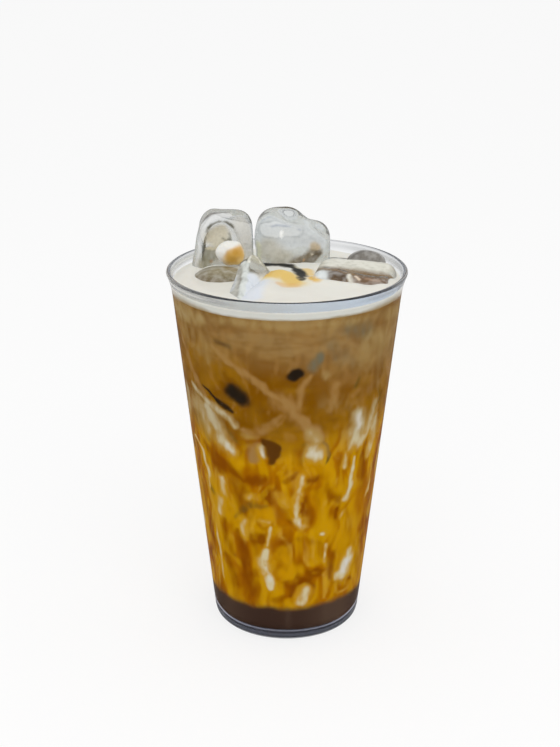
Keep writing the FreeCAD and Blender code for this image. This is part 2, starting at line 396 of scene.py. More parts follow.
# Each stroke is (width in mm, strength, (azimuth, level), ...); three or more places taper it.
# The order of the kinds fixes the random draws.
FRONT = {"milk": [
    (3.2, 0.75, (-63, 103), (-52.5, 99.7), (-42, 96.5), (-33.5, 94), (-29.5, 91.5)),
    (7.6, 0.8, (-50, 95.6), (-45, 90), (-39.5, 84.5), (-34, 81)), (4.8, 0.85, (-41, 85.5), (-36, 82)),
    (12, 0.46, (-60, 96), (-52, 88)), (8.4, 0.8, (43.5, 95), (45.5, 89.6), (42, 84.7), (38, 81)),
    (3.2, 0.75, (37.5, 80), (35.3, 74)), (7.4, 0.66, (59, 96), (54, 87.3), (48, 82.3)),
    (6.2, 0.86, (15.2, 82.8), (17, 81.6)), (4.6, 0.5, (13.5, 91), (16.6, 87.5)),
    (8, 0.42, (-86, 131), (-66, 130.5), (-48, 131.5)), (5, 0.3, (-40, 133.4), (40, 133.4)),
    (6, 0.3, (84, 129), (58, 131)), (3, 0.9, (-15.7, 84.8), (-14.1, 81.5)),
    (2.4, 0.75, (-71.5, 80), (-61, 75.7), (-57.3, 70), (-58.5, 62)), (4.4, 0.5, (-56, 71), (-57, 65)),
    (2.2, 0.78, (44, 77), (42.7, 70.4), (42, 64)), (1.9, 0.6, (65.4, 70), (66, 58)),
    (2.8, 0.8, (43.3, 66.5), (39.8, 60)), (2.4, 0.6, (66.5, 61.5), (62, 57)),
    (1.6, 0.6, (36.3, 52.3), (41, 55.5)), (3.2, 0.72, (8.4, 72.5), (7.8, 69)),
    (2.8, 0.7, (7.6, 69), (7.2, 65), (6.2, 60), (6.8, 55.6)), (4.2, 0.75, (7.8, 54.2), (9.9, 51.5)),
    (2.4, 0.85, (23.6, 47.2)), (5, 0.7, (-44.7, 67), (-44.4, 62.5)), (4.6, 0.55, (-47.8, 59), (-50, 53)),
    (1.8, 0.7, (-56, 46), (-55.3, 35), (-54.2, 23)), (3.4, 0.62, (-29.4, 52.5), (-30, 46)),
    (2.8, 0.5, (-19, 53), (-12.5, 53.4)), (1.9, 0.7, (-11.2, 51.5), (-11.3, 48.5), (-13, 42.6)),
    (5, 0.88, (-13.8, 40.5), (-15.6, 36.9), (-14.9, 30.8), (-12, 24.8)), (3.2, 0.5, (-25, 63), (-20, 64)),
    (5, 0.4, (-5, 65), (-2, 62)), (5.4, 0.85, (12.8, 22), (11.4, 18.6)), (3.4, 0.8, (48.7, 36), (48.4, 31)),
    (6.8, 0.95, (47.8, 31), (44.8, 26.5)), (1.8, 0.5, (39.6, 21), (42, 17.8), (48.5, 17.6), (55, 18.6)),
    (1.8, 0.7, (27, 42), (27.3, 34.5)), (2.4, 0.3, (-25.3, 89), (-18, 89.2)), (4, 0.3, (18, 117), (21, 113)),
    (15, 0.27, (-62, 124), (-46, 119)), (15, 0.31, (62, 124), (46, 119)), (9, 0.2, (22, 102), (36, 100)),
    (6.6, 0.62, (62, 90), (60, 82), (57, 76)), (9, 0.2, (58, 112), (60, 104)),
], "tan": [
    (3, 0.85, (-41, 122.5), (-33, 118), (-22, 113.7), (-12, 109), (-5.6, 105.6), (-1, 102.6)),
    (7.2, 0.75, (-3.5, 104.5), (2.4, 100.6)),
    (3.2, 0.75, (11.6, 113.2), (7.8, 109.2), (6.3, 104.3), (4.4, 100)),
    (4.6, 0.85, (3, 99.5), (9.9, 94.3), (14.2, 91.5)), (5.6, 0.95, (14, 92), (16.6, 88.2)),
    (3.4, 0.64, (-4, 97.5), (-9.2, 94.1), (-14.4, 91.9), (-19.7, 90.5), (-26, 91)),
    (1.9, 0.55, (-1, 97.7), (-3.8, 95.2), (-6, 93.5)),
    (4, 0.6, (-72, 124), (-64, 113), (-56, 105), (-50, 101)), (4.6, 0.75, (27.4, 108.7), (25.7, 103.4)),
    (2.8, 0.6, (37.4, 103), (41.4, 104.7)), (5, 0.85, (-70, 94), (-57, 95.6)),
    (4.6, 0.85, (-19.3, 84.6), (-19.6, 80)), (2.2, 0.45, (20.3, 87.2), (23.8, 84.3), (24.7, 80.4)),
    (5, 0.4, (35, 121), (50, 116)), (8, 0.42, (40, 100), (52, 104)),
], "deep": [
    (10, 0.66, (-31, 69), (-27, 57)), (8, 0.75, (-28, 28), (-27, 21)),
    (2.6, 0.55, (-27.5, 87), (-16.4, 87.6)), (5, 0.75, (-57, 80), (-49.4, 74.4), (-37, 72.5)),
    (4.8, 0.8, (-45.8, 77.7), (-34.7, 72), (-27.6, 69.2)), (4.8, 0.85, (-24, 70.5), (-15, 71)),
    (2.6, 0.5, (-12, 70), (-10.6, 62)), (2.8, 0.6, (-1.5, 71), (4.3, 74.5)),
    (3.6, 0.75, (12.6, 71), (17.5, 71)), (5, 0.75, (53, 77), (54, 68)), (4.4, 0.55, (25.6, 64.6), (35, 60.5)),
    (2.2, 0.9, (33.2, 52.9), (33.8, 56.8)), (3, 0.85, (9.8, 61), (9.6, 58)),
    (4, 0.4, (2.6, 46.6), (10.6, 45.4), (24.7, 42)), (5.6, 0.85, (-22.5, 44.6), (-16.5, 45.6)),
    (4.8, 0.5, (-46.3, 50.6), (-45, 41), (-40, 36)), (4.6, 0.75, (-35.5, 47), (-31, 38.6), (-31.7, 31)),
    (4.5, 0.6, (-48, 34), (-41, 22)), (4, 0.2, (6.8, 36), (14.5, 31.4)),
    (2.8, 0.8, (2.3, 20.2), (6, 25.7), (12.5, 28.1), (19.6, 24)), (3.4, 0.5, (-8.4, 18.6), (0.6, 20.6)),
    (3.6, 0.65, (32.7, 37), (34.5, 27)), (2.2, 0.6, (37.5, 23.5), (45.2, 23.4), (57.2, 21.3)),
    (3.6, 0.6, (-72, 68), (-66, 50), (-61, 32)), (3.6, 0.5, (64, 46), (60, 28)),
], "dark": [
    (3.4, 0.5, (-38, 125), (-31, 123.8)), (1.8, 0.5, (-36, 124.6), (-31, 123.6)),
    (4.5, 1, (2.9, 113.7), (4.8, 114.4)), (7.4, 0.92, (-29.6, 105.4), (-29, 105)),
    (7, 0.92, (-26.6, 104), (-25.8, 103.6)), (1.7, 0.85, (-52, 105), (-46, 102.6), (-41, 100.1)),
    (3.6, 0.8, (-41, 100.3), (-36, 98.5), (-32.5, 97.4)), (1.4, 0.34, (66, 100), (60, 93)),
    (1.6, 0.4, (-68, 93), (-62, 86)),
], "brown": [
    (4.6, 0.95, (-13.6, 87.2), (-9.5, 86.2), (-6.2, 85.2)), (6.2, 0.95, (-9.6, 85), (-8.8, 82.6)),
    (3.4, 0.9, (-8.8, 82), (-9.2, 78.8)),
], "grey": [
    (4.6, 0.8, (13, 117), (17, 120.5)), (9, 0.5, (32, 131), (44, 128)), (9, 0.35, (22, 124), (34, 118)),
], "yellow": [
    (4.6, 0.5, (1.5, 63), (2.5, 57)), (6.4, 0.55, (36, 47), (35, 41)),
    (7, 0.45, (52, 68), (48, 56), (47, 48)), (6.6, 0.7, (-25, 56.8), (-14, 56)),
    (9, 0.65, (28, 51), (34, 45)), (8.6, 0.7, (-4, 41), (0, 32), (8, 33)), (3.4, 0.6, (-4.8, 26), (-3.8, 22)),
    (6.6, 0.45, (3, 80), (12, 76)), (5.4, 0.45, (24, 76), (28, 72)), (5.4, 0.35, (-32, 76), (-24, 78)),
    (4.4, 0.4, (52, 45), (50, 40)),
], "olive": [
    (4, 0.6, (-62, 92), (-56.4, 87.6), (-52, 83)), (2.6, 0.45, (-41.4, 92.5), (-34.3, 88.7), (-28.6, 85.7)),
    (4.2, 0.42, (-36, 53), (-29.5, 57.2), (-22.6, 59.6), (-14, 59.6)), (2.6, 0.6, (-58.4, 63.1), (-54, 60.2)),
    (1.5, 0.65, (19.4, 87.4), (23.8, 84.6), (25.2, 80.4), (23.5, 77)), (1.5, 0.7, (41.6, 109.6), (38, 106)),
    (2.6, 0.6, (46.5, 88.8), (47.3, 85.5)), (1.6, 0.5, (62, 101), (66, 93)), (2.4, 0.4, (9.5, 86), (9, 79)),
], "white": [
    (4.2, 0.46, (15.8, 82.4), (17, 81.8)), (4, 0.7, (48.2, 31), (45.5, 27.5)),
    (3.6, 0.5, (43.6, 94), (45, 89)), (1.8, 0.6, (-15.4, 84.2), (-14.4, 82)),
    (2.6, 0.5, (-37, 83), (-34.5, 81)), (2.6, 0.45, (-14.6, 33), (-13, 28)),
    (2.2, 0.45, (8.4, 53.6), (9.6, 52)),
]}

# Scattered over the rest of the way round, by kind: (count, levels, widths, lengths in mm, strengths).
AROUND = {
    "milk": (52, (19, 98), (2.2, 6.6), (4, 17), (0.45, 1)),
    "tan": (18, (90, 124), (2.8, 6), (8, 24), (0.45, 0.85)),
    "deep": (44, (20, 88), (3, 6), (5, 18), (0.45, 0.85)),
    "dark": (9, (58, 124), (1.6, 6.4), (2, 8), (0.5, 0.95)),
    "brown": (3, (72, 96), (5, 6.5), (3, 6), (0.7, 0.95)),
    "grey": (6, (114, 130), (5, 9), (4, 8), (0.3, 0.6)),
    "yellow": (16, (22, 82), (4, 9), (3, 8), (0.35, 0.65)),
    "olive": (14, (40, 108), (1.4, 3.4), (4, 11), (0.4, 0.8)),
    "white": (9, (26, 92), (1.8, 4.4), (2, 6), (0.4, 0.8)),
}
FRONT_HALF = 76  # azimuth where the listed strokes end
CRISP = ("dark", "brown")  # strokes with firmer edges than the rest
STROKE_REACH = 60  # degrees to each side of its middle that a stroke can colour
FADE = 0.75  # how fast a stroke fades across its width
STROKE_RADIUS = 35  # radius in mm that the scattered strokes are laid out on
SWAY_RADIUS = 36  # radius in mm that the strokes sway on


def random_strokes(kind, random):
    """Strokes like the front's, scattered over the sides and back."""
    count, levels, widths, lengths, strengths = AROUND[kind]
    strokes = []
    for _ in range(count):
        azimuth = random.uniform(FRONT_HALF, 360 - FRONT_HALF)
        level = random.uniform(*levels)
        length = random.uniform(*lengths)
        lean = random.uniform(25, 75) * random.choice((-1, 1)) if kind == "tan" else random.normal(0, 14)
        bend = random.normal(0, 5)
        across, up = math.sin(math.radians(lean)), math.cos(math.radians(lean))
        path = []
        for share in (-0.5, 0, 0.5):
            side = across * length * share + bend * (0.25 - share * share) * length / 20
            path.append((azimuth + math.degrees(side / STROKE_RADIUS), level + up * length * share))
        strokes.append((random.uniform(*widths), random.uniform(*strengths), *path))
    return strokes


def half_turn(degrees):
    """The same angle within -180..180."""
    return (degrees + 180) % 360 - 180


def stroke_field(azimuth, level, ragged, strokes, crisp):
    """How strongly a set of strokes covers each spot on the wall, 0 to 1."""
    cover = np.zeros(len(azimuth))
    edge_power = 3.0 if crisp else 2.0
    for width, strength, *path in strokes:
        middle = sum(p[0] for p in path) / len(path)
        radius = inner_line(path[len(path) // 2][1] * MM) / MM
        off = half_turn(azimuth - middle)
        runs = runs_of([(math.radians(half_turn(a - middle)) * radius, z) for a, z in path])
        margin = 1.4 * width
        low = min(z for _, z in path) - margin
        high = max(z for _, z in path) + margin
        near = np.flatnonzero((level > low) & (level < high) & (np.abs(off) < STROKE_REACH))
        if not len(near):
            continue
        spots = np.column_stack([np.radians(off[near]) * radius, level[near]])
        best = np.zeros(len(near))
        for number, (a, b) in enumerate(runs):
            t, distance = from_run(spots, a, b)
            taper = 1.0 if len(runs) == 1 else 0.6 + 0.4 * np.sin(math.pi * (number + t) / len(runs))
            share = np.maximum(distance / (width / 2 * taper) + ragged[near], 0)
            best = np.maximum(best, np.exp(-FADE * share ** edge_power))
        cover[near] = np.maximum(cover[near], strength * best)
    return cover


def paint_strokes(mesh, points, azimuth, level):
    """Lay the front's strokes and the scattered ones on the mesh, with uneven edges."""
    random = np.random.default_rng(SEED)
    sway, lift = (lumps(points, seed, (6, 0.7), (2.4, 0.45)) for seed in (1, 3))
    ragged = lumps(points, 11, ((2.6, 2.6, 5.4), 0.2), ((1.4, 1.4, 3), 0.12))
    patchy = 1 + 0.42 * layered_noise(points, (1.9, 1.9, 3.8), 35)
    moved = azimuth + np.degrees(sway / SWAY_RADIUS)
    for kind, strokes in FRONT.items():
        crisp = kind in CRISP
        cover = stroke_field(moved, level + lift, ragged, strokes + random_strokes(kind, random), crisp)
        add_values(mesh, **{kind: cover if crisp else np.clip(cover * patchy, 0, 1)})


def paint_marbling(mesh, points):
    """Lay the noises that the shades between the strokes are mixed by."""
    drift = [value_noise(points, scale, seed) for scale, seed in ((8, 13), (8, 14), (9, 15))]
    flow = points + np.stack(drift, axis=1) * (2.2, 2.2, 5)
    for name, places, scale, seed in (
        ("web", flow, (5, 5, 15), 16),
        ("wisp", flow, (3.4, 3.4, 10), 20),
        ("grain", flow, (2.2, 2.2, 6), 38),
        ("blotch", points, (10, 10, 9), 24),
        ("streaks", points, (8, 8, 1.7), 28),
    ):
        add_values(mesh, **{name: 0.5 + 0.5 * layered_noise(places, scale, seed)})


def paint_levels(mesh, points, azimuth, level):
    """Mark how far up amber, gold and syrup reach, each with an uneven, soft top."""
    lean = np.sin(np.radians(azimuth + 4)) * np.cos(np.radians(azimuth) / 2) ** 2
    amber_top = 118 - 13 * lean + 4 * value_noise(points, 13, 6)
    gold_top = 86 + 4 * value_noise(points, (9, 9, 20), 8)
    syrup_top = SYRUP_LEVEL / MM + lumps(points, 9, (7, 0.5), (2.5, 0.5))
    add_values(mesh, amber=1 - rise(-9, 8, level - amber_top),
               gold=1 - rise(-9, 9, level - gold_top),
               syrup=1 - rise(-1.5, 2.1, level - syrup_top))


def paint_drink(mesh):
    """Give a drink mesh the values that its material mixes its colours by, with painted highlights on the
    syrup.
    """
    points = points_of(mesh) / MM
    azimuth = np.degrees(azimuth_of(points))
    level = points[:, 2]
    paint_strokes(mesh, points, azimuth, level)
    paint_marbling(mesh, points)
    paint_levels(mesh, points, azimuth, level)
    # Painted highlights on the syrup: soft paler bands at the front right, front left and both ends, and a
    # narrow one at the front.
    glow = bell(azimuth, 22, 42) + 0.5 * bell(azimuth, 16, -50)
    glow += 0.5 * bell(azimuth, 2.6, 1) + 0.9 * bell(np.abs(azimuth), 10, 80)
    add_values(mesh, glow=glow * (0.8 + 0.2 * value_noise(points, (3, 3, 20), 41)))


def drink_shade(n, gold_share):
    """Coffee at the top, amber below it and gold at the bottom, each blotched and streaked."""
    blotch, streaks, web = map(n.value, ("blotch", "streaks", "web"))
    coffee = n.wash("#815f34", "#8f7043", blotch, 0.36, 0.64)
    coffee = n.wash(coffee, "#7c5624", streaks, 0.35, 0.75, 0.5)
    amber = n.wash("#784b03", "#8c5f0c", blotch, 0.36, 0.66)
    amber = n.wash(amber, "#6c4103", streaks, 0.45, 0.8, 0.3)
    gold = n.wash("#b78302", "#a16301", web, 0.36, 0.6)
    gold = n.wash(gold, "#7d4302", web, 0.56, 0.78, 0.85)
    gold = n.wash(gold, "#c49932", n.value("wisp"), 0.6, 0.82, 0.55)
    shade = n.mix(n.value("amber"), coffee, amber)
    return n.mix(gold_share, shade, gold)


def drink_material():
    """Milk, coffee and caramel marbled together, seen through the glass."""
    n = material_nodes("marbled_drink")
    fine = n.noise(300, 3, 0.6, (1, 1, 0.5))
    gold_share = n.value("gold")
    shade = drink_shade(n, gold_share)
    grain = n.value("grain")
    grain_share = n.ramp(gold_share, 0, 1, 0.24, 0.42)
    for low, high, in_coffee, in_gold in ((0.5, 0.78, "#6d4a1a", "#864702"),
                                          (0.46, 0.2, "#a47d46", "#c99b12")):
        share = n.maths("MULTIPLY", n.ramp(grain, low, high), grain_share)
        shade = n.mix(share, shade, n.mix(gold_share, in_coffee, in_gold))
    # From below to on top: (kind of stroke, colour, where it starts, where it is full, most cover).
    layers = (
        ("yellow", "#c28d04", 0.1, 0.85, 0.9),
        ("deep", "#7c4002", 0.1, 0.9, 0.92),
        ("olive", "#66501c", 0.1, 0.8, 0.95),
        ("grey", "#69644f", 0.1, 0.95, 1),
        ("tan", "#98723e", 0.1, 0.85, 1),
        ("milk", n.mix(gold_share, "#a28754", "#b98b24"), 0.06, 0.5, 0.8),
        ("milk", n.mix(gold_share, "#b6a888", "#cbbe98"), 0.38, 0.94, 0.96),
        ("white", "#d2ccc4", 0.16, 0.9, 1),
        ("brown", "#57330c", 0.15, 0.9, 1),
        ("dark", "#221a12", 0.12, 0.92, 1),
    )
    for name, tone, low, high, most in layers:
        uneven = n.maths("ADD", n.value(name), n.ramp(fine, 0.25, 0.75, -0.07, 0.07))
        shade = n.wash(shade, tone, uneven, low, high, most)
    # The syrup turns paler where its painted highlights lie.
    syrup = n.mix(n.maths("MULTIPLY", n.value("glow"), 0.7), "#3a2921", "#5d4a3c")
    shade = n.mix(n.value("syrup"), shade, syrup)
    return n.finish(n.coat(shade, roughness=0.6, specular=0.0))


# -------- the drink's layers

def make_layer(node, low, high, step, material, floor_round=0.0):
    """A layer lathed from its middle below, up the wall, to its middle above."""
    profile = [(0, low)]
    if floor_round:
        corner = inner_radius(low) + GRIP - floor_round
        profile += arc(corner, low + floor_round, floor_round, -90, 0, 8)[:-1]
        low += floor_round
    profile += wall_line(inner_radius, low, high, step, GRIP)
    profile.append((0, high))
    mesh = lathe_mesh(f"{node}_marbled", profile, LAYER_COLUMNS)
    smooth_mesh(mesh, 40)
    return new_piece(f"{node}_marbled", mesh, material, node, node)


# -------- ice

# Films of foam, caramel and coffee, the shades that show in the ice and the foam, and painted light: painted
# highlights, glints and painted dark contour lines. Each is (hex colour, opacity, radius, (x, y, z), ...) in
# millimetres, later ones on top.
FILMS = {"ice_hollow_cube": [
    ("#bfbaad", 0.55, 6, (-16, 6, 156), (-15, 6, 144)),
    ("#dcdcda", 0.6, 1.8, (-34, 7, 141), (-33.8, 7.4, 150), (-32, 8, 156), (-28, 9, 159.4), (-22, 10, 160)),
    ("#d0c6ac", 0.88, 4.4, (-28.5, 10.2, 152.5), (-25, 11, 153.5), (-25.5, 11.2, 149)),
    ("#8f8970", 0.85, 3, (-31, 8, 141.5), (-29.5, 9.4, 145), (-27.5, 10.5, 144.5)),
    ("#d8ccae", 0.8, 0.7, (-30.8, 8.8, 147.2), (-28, 10.4, 147), (-26, 11, 147.4)),
    ("#a07a4a", 0.7, 0.8, (-28.5, 9.8, 142)),
    # Painted dark contour lines, painted shade: round the hollow's edge and along the cube's left, top and
    # back edges.
    ("#6d6a58", 0.85, 0.9, (-24.2, 11.4, 155), (-24.4, 11.6, 151.6), (-23, 11.6, 149.8), (-21.2, 11, 151),
     (-21.6, 11, 153.6)),
    ("#716c58", 0.85, 0.9, (-32.6, 5.6, 141), (-32.3, 5.6, 145), (-31.6, 5.8, 149), (-31, 6, 152.4),
     (-30.2, 6, 154.8)),
    ("#55513f", 0.95, 1.2, (-30.2, 6, 154.8), (-28.4, 6.2, 156.8), (-25.4, 6.4, 158), (-22.9, 6.4, 157.8),
     (-20.8, 6.4, 156.4)),
    ("#57504a", 0.85, 1, (-34.6, 10, 153), (-33.2, 10, 157), (-30.6, 10, 160), (-27, 11, 161),
     (-22, 12, 161.2)),
], "ice_humped": [
    ("#cdd2d2", 0.42, 12, (-4, 14, 152), (8, 16, 149)), ("#b3ac97", 0.6, 5, (-7, 13, 146), (-2, 12.5, 142)),
    ("#d9d7b5", 0.8, 2.4, (-11.8, 14.5, 147), (-12, 15, 142)),
    ("#6c5e43", 0.92, 2.8, (3.6, 12.9, 140.6), (7, 14, 141.4), (9.4, 14.2, 143), (11, 14.6, 145)),
    ("#bda987", 0.85, 1.8, (10.2, 14.5, 147.2), (11.4, 14.8, 146.6)),
    ("#4f422c", 0.9, 1.4, (3.8, 12.9, 139.8), (7.4, 14.1, 140), (9.8, 14.3, 141.4), (11.8, 14.8, 143.8)),
    ("#b98a5c", 0.6, 0.6, (6.6, 14, 141.4)), ("#e6dcc8", 0.8, 0.5, (9.8, 14.3, 143.8)),
    # Painted dark contour lines of grey-blue over the top, then a painted highlight as a white spot.
    ("#8f98a8", 0.5, 0.5, (-9.4, 16, 156), (-4.5, 16.2, 159.3), (0.4, 16.2, 159.2), (5, 15.7, 156.8)),
    ("#8f98a8", 0.55, 0.5, (-10.6, 16.5, 153), (-5.6, 13.2, 155), (-0.7, 13.3, 155), (5, 14.6, 153.2),
     (12, 15, 151.6)), ("#f8fafa", 0.95, 0.8, (-2.2, 12.9, 152.8), (-2.2, 12.8, 151)),
], "ice_peaked": [
    ("#e6e1d3", 0.95, 7, (-8, -20, 143), (-3, -14, 142)),
    ("#a9a89e", 0.92, 4.4, (-18.5, -30, 140), (-20.5, -22, 141.6), (-18, -12, 143.6)),
    ("#bfc3c6", 0.7, 1.6, (-19.6, -24, 141), (-18.6, -16, 143)),
    ("#8d8a83", 0.6, 1.1, (-20.8, -27.5, 139.8), (-17.6, -33, 140)),
    ("#d0d6de", 0.95, 4.4, (-13, -31, 140.5), (-11.5, -19, 144)),
    # A painted highlight along the ridge between the left and front faces.
    ("#cdd2cd", 0.85, 1.5, (-16.4, -33.5, 140.4), (-15, -15, 146.4), (-15.6, -9, 147)),
    ("#b7b29a", 0.65, 3.2, (-12, -5, 147), (-8, -4, 144)),
    # Painted highlights at the apex, then a painted dark contour round it.
    ("#e2e0d4", 0.7, 0.6, (-13.4, -5, 148.8), (-14, -10, 147.2)),
    ("#e2e0d4", 0.6, 0.5, (-11.4, -4.6, 148.2), (-10, -6, 146.2)),
    ("#4b463c", 0.85, 0.7, (-15.5, -5.6, 147.6), (-12.8, -4, 149), (-10.4, -4, 147.8)),
], "ice_sunken": [
    ("#766c50", 0.96, 14, (-28, -4, 141), (-20, -3, 141)),
    ("#958b6e", 0.6, 3.6, (-26, -6, 142), (-20, -6, 142)),
    ("#6f654a", 0.6, 2.6, (-32, 3, 140.6), (-26, 5, 141.8), (-19, 5, 141.6)),
    ("#6b5d43", 0.75, 1.8, (-33, -7, 140.2), (-26, -12.4, 140.2), (-19.5, -11.5, 140.2)),
], "ice_slab": [
    ("#d0cec0", 0.94, 6.5, (16, 2, 144), (22, 0, 144.5), (34, -2, 144)),
    ("#d5dcdd", 0.85, 3.4, (9.5, -8, 142), (13.5, -10, 142)),
    ("#e3b548", 0.8, 1.5, (9.4, -9, 141), (10.5, -12.5, 141)),
    ("#4d3c2b", 0.9, 2.4, (17, -10.5, 142.6), (20.4, -12.5, 142)),
    ("#dcd9cc", 0.85, 1.3, (22.6, -12, 142.6), (23.4, -15, 141)),
    ("#6a5139", 0.94, 3.4, (26.5, -14, 141.6), (35, -15.5, 140.6)),
    # Painted glints and a painted highlight stroke on the front face.
    ("#e0cdb4", 0.85, 0.7, (25.3, -12.6, 142.4), (26.6, -13.8, 141.8)),
    ("#a8866a", 0.55, 0.9, (29, -13.6, 141.8), (33, -14.4, 141.4)),
    ("#d9c9a8", 0.8, 0.5, (18.6, -11.4, 142.6)), ("#a9a49a", 0.7, 0.9, (23.2, -6, 144.2)),
    # A painted dark edge along the front of the top face: painted shade.
    ("#2b2720", 0.9, 0.55, (11.5, -2, 143.6), (15.9, -5, 143.8), (20, -7.5, 143.6), (23.8, -9.6, 143.2),
     (29, -11, 142.5), (34, -11, 142), (38.4, -8, 141.2)),
], "ice_rear": [
    ("#6d6861", 0.95, 12, (27, 14, 142), (34, 14, 142)),
    # A painted dark contour along the top: painted shade.
    ("#57524c", 0.8, 0.9, (24.4, 14.6, 142), (27, 15, 143.6), (30.4, 15.6, 144.3), (33, 15, 143.8)),
], "milk_foam": [
    ("#cfcabd", 0.5, 3, (-30, 4, 140.5), (-14, 4, 140.5)),
    ("#d3d9e2", 0.85, 4.6, (-12.5, -31, 140.5), (-10.5, -17, 143)),
    ("#e2d2a4", 0.75, 6.5, (-7, -11, 143), (0, -6, 141), (2, -14, 141.5)),
    ("#dbb964", 0.97, 5.2, (-6, -10, 143), (-3, -6, 142), (0.4, -9, 141.4), (1.6, -13, 141.2)),
    ("#dfc070", 0.75, 3, (-3.4, -3, 141.6), (-0.6, -5, 141.2)),
    ("#d9ad58", 0.65, 2.2, (-7.4, -10, 143), (-5.4, -6, 142)),
    ("#d9a654", 0.55, 2.6, (-2, -19, 141.8), (3, -17, 141)),
    ("#e0c07c", 0.9, 2.6, (8, 4, 140.5), (8.6, -2, 140.5)),
    ("#dcb04a", 0.95, 2.6, (9.4, -7, 140.5), (11, -12.4, 140.3)),
    ("#a39c80", 0.75, 1.6, (1.6, 8.4, 140.5), (4.8, 4.8, 140.5)),
    ("#0b0804", 1, 3, (-8.6, 10.6, 140.5), (-4, 10.8, 140.5), (-1, 10.4, 140.5), (0.6, 9.2, 140.5)),
    ("#0b0804", 0.95, 1.3, (1.8, 7, 140.5), (3.6, 4, 140.5)),
    ("#0b0804", 1, 2.8, (4, 2.8, 140.5), (5, -0.5, 140.5), (5.3, -4.5, 140.5)),
    ("#0b0804", 0.95, 1.6, (5.4, -5, 140.5), (5.3, -10, 140.6)),
    ("#55524a", 0.8, 0.9, (14, 21, 140.5), (20, 20.4, 140.5), (24, 19, 140.5)),
    ("#cfcdc6", 0.6, 3.4, (14, 14, 140.5), (26, 14, 140.5)),
], "foam_dollop": [
    ("#e6e4de", 1, 9, (-21, 6, 146)), ("#dcb765", 0.88, 3.8, (-20.4, 4.8, 143.8), (-18, 5.2, 144.8)),
    ("#cd9c36", 0.75, 2.6, (-21, 4.6, 145.6), (-18.2, 5, 147)), ("#c18c20", 0.55, 1.4, (-19, 4.6, 147)),
    ("#d7a94a", 0.6, 1.8, (-19.6, 4.4, 143.2)),
]}

# Node: (voxel in mm, rounds of smoothing, ripple in mm).
ICE_LOOKS = {
    "ice_hollow_cube": (0.55, 8, 0.35),
    "ice_humped": (0.55, 30, 0.4),
    "ice_peaked": (0.45, 4, 0.2),
    "ice_sunken": (0.5, 10, 0.3),
    "ice_slab": (0.5, 8, 0.3),
    "ice_rear": (0.5, 10, 0.25),
}

# Corners of the cracked cube at the front, sunk but for one ridge that rises to the back.
PEAKED_CORNERS = [
    (-21.3, -27.5, 139.6), (-16.8, -34, 140.4), (-12.6, -33, 138), (-15, -14.4, 146.6), (-17.2, -7, 146.4),
    (-12.8, -4, 149), (-10.4, -4, 147.6), (-6.5, -18.5, 137.6), (-3, -10.5, 137.6), (-5.5, 0, 140),
    (-19, -24, 127), (-13, -28, 126), (-3, -26, 126), (2, -11, 127), (-4, -2, 128), (-16, -5, 128),
]
# Cubes melted to lumps, nearly sunk: (centre, radii).
ROUNDED = {
    "ice_sunken": ((-24.6, -3, 137.6), (11.2, 10.6, 5.8)),
    "ice_rear": ((30.4, 16.5, 139.6), (7.8, 5.6, 5.1)),
}
# Deeper hollow of the hollow cube, and the dab of foam in it: (centre, radii).
THIMBLE = ((-24.4, 5.4, 146), (7.6, 6.4, 13.2))
DOLLOP = ((-21.1, 7.5, 146), (5.6, 3, 4.9))

# Where melting has shaped a cube beyond its solid: (centre, reach, push) in millimetres.
NUDGES = {
    "ice_hollow_cube": [
        ((-36, 10, 138), 6, (-0.9, 0, 0)), ((-24, 14, 162), 9, (0, 0, -0.9)),
        ((-34, 12, 158), 5, (0.9, 0, -0.9)), ((-13, 12, 158), 5, (-0.5, 0, -0.3)),
    ],
    "ice_humped": [
        ((15, 20, 155), 4.5, (-1.5, 0, -3.2)), ((6, 21, 155.5), 3.2, (0.6, 0, 2.8)),
        ((3.5, 19, 161), 5.5, (-1.8, 0, -4.8)), ((-6, 18, 161), 7, (0.4, 0, -1.3)),
        ((-12, 18, 149), 6, (-1.3, 0, 0)),
    ],
    "ice_slab": [((33, -12, 143.5), 8, (0, 0, -1.6)), ((39, -8, 143), 5, (-0.6, 0, -0.9))],
}


def apply_modifiers(piece):
    """Put the mesh that the piece's modifiers make in place of its own."""
    bpy.context.view_layer.update()
    graph = bpy.context.evaluated_depsgraph_get()
    mesh = bpy.data.meshes.new_from_object(piece.evaluated_get(graph), depsgraph=graph)
    piece.modifiers.clear()
    piece.data = mesh
    return mesh


def cut_away(piece, cutter):
    cut = piece.modifiers.new("pocket", "BOOLEAN")
    cut.operation = "DIFFERENCE"
    cut.solver = "EXACT"
    cut.object = cutter
    smooth_mesh(apply_modifiers(piece), 40)


def add_remesh(piece, voxel):
    remesh = piece.modifiers.new("voxels", "REMESH")
    remesh.mode = "VOXEL"
    remesh.voxel_size = voxel


def mesh_of(shape, name):
    """The bmesh as a mesh; the bmesh is let go."""
    mesh = bpy.data.meshes.new(name)
    shape.to_mesh(mesh)
    shape.free()
    return mesh


def hull_mesh(name, corners):
    """The faceted block that a few corners span."""
    shape = bmesh.new()
    for corner in corners:
        shape.verts.new([c * MM for c in corner])
    result = bmesh.ops.convex_hull(shape, input=shape.verts)
    loose = {v for v in result["geom_interior"] + result["geom_unused"] if isinstance(v, bmesh.types.BMVert)}
    bmesh.ops.delete(shape, geom=list(loose), context="VERTS")
    bmesh.ops.recalc_face_normals(shape, faces=shape.faces)
    return mesh_of(shape, name)


def ellipsoid_mesh(name, centre, radii, segments=48):
    shape = bmesh.new()
    bmesh.ops.create_uvsphere(shape, u_segments=segments, v_segments=segments // 2, radius=1)
    for v in shape.verts:
        v.co = [(c + r * q) * MM for c, r, q in zip(centre, radii, v.co)]
    return mesh_of(shape, name)


